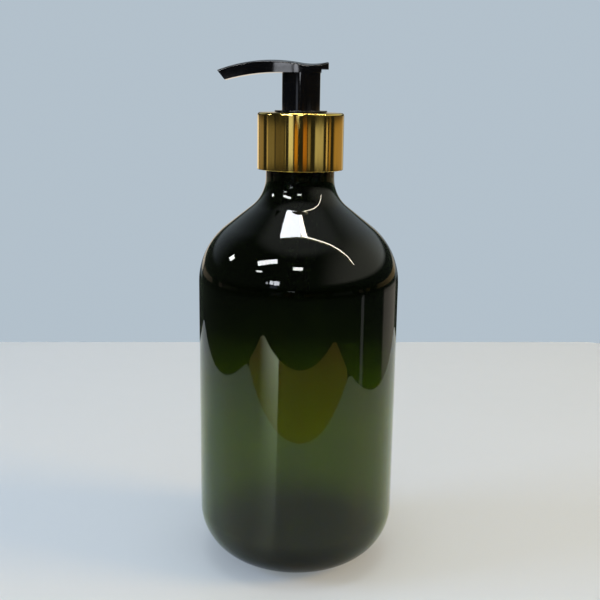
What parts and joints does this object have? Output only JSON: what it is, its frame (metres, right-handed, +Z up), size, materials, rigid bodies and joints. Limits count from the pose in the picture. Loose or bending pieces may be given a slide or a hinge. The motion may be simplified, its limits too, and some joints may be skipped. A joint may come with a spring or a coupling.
{
  "type": "pump oil bottle",
  "caption": "Round translucent bottle with a sloping shoulder, a plain metal collar and a press-down dispensing pump with a drooping spout, for massage oil.",
  "frame": {"origin": "middle of the base, on the surface that the bottle stands on", "axes": "+Z up along the bottle's axis, the spout points along -X"},
  "size_m": [0.074, 0.074, 0.1873],
  "materials": {
    "green_plastic": "clear dark green blown plastic",
    "white_foam": "soft white polyethylene",
    "inner_plastic": "natural polypropylene",
    "clear_plastic": "milky translucent plastic",
    "gold_metal": "bright gold anodised",
    "black_plastic": "gloss moulded",
    "steel": "bright"
  },
  "bodies": {
    "bottle": {"bottle": "green_plastic"},
    "pump_unit": {"housing": "clear_plastic", "lock_ring": "black_plastic", "gasket": "white_foam", "dip_tube": "clear_plastic", "return_spring": "steel"},
    "collar": {"closure": "inner_plastic", "collar_shell": "gold_metal"},
    "plunger": {"piston_rod": "inner_plastic"},
    "piston": {"piston": "white_foam"},
    "head": {"actuator_head": "black_plastic", "stem": "inner_plastic"},
    "inlet_ball": {"inlet_ball": "steel"}
  },
  "joints": [
    {"name": "pump_lift", "type": "slide", "parent": "bottle", "child": "pump_unit", "axis": [0, 0, 1], "range_m": [0, 0.00634]},
    {"name": "collar_turn", "type": "hinge", "parent": "pump_unit", "child": "collar", "pos_m": [0, 0, 0.16], "axis": [0, 0, 1], "range_deg": [0, 540]},
    {"name": "head_press", "type": "slide", "parent": "pump_unit", "child": "plunger", "axis": [0, 0, -1], "range_m": [0, 0.01275], "stiffness_N_per_m": 800, "springref_m": -0.002, "deforming": ["return_spring"]},
    {"name": "head_turn", "type": "hinge", "parent": "plunger", "child": "head", "pos_m": [0, 0, 0.18], "axis": [0, 0, 1], "range_deg": [0, 90]},
    {"name": "piston_slip", "type": "slide", "parent": "plunger", "child": "piston", "axis": [0, 0, 1], "range_m": [0, 0.0012]},
    {"name": "ball_lift", "type": "slide", "parent": "pump_unit", "child": "inlet_ball", "axis": [0, 0, 1], "range_m": [0, 0.0014]}
  ],
  "couplings": [
    {"joint": "collar_turn", "follows": "pump_lift", "rad_per_m": 1485.4}
  ]
}
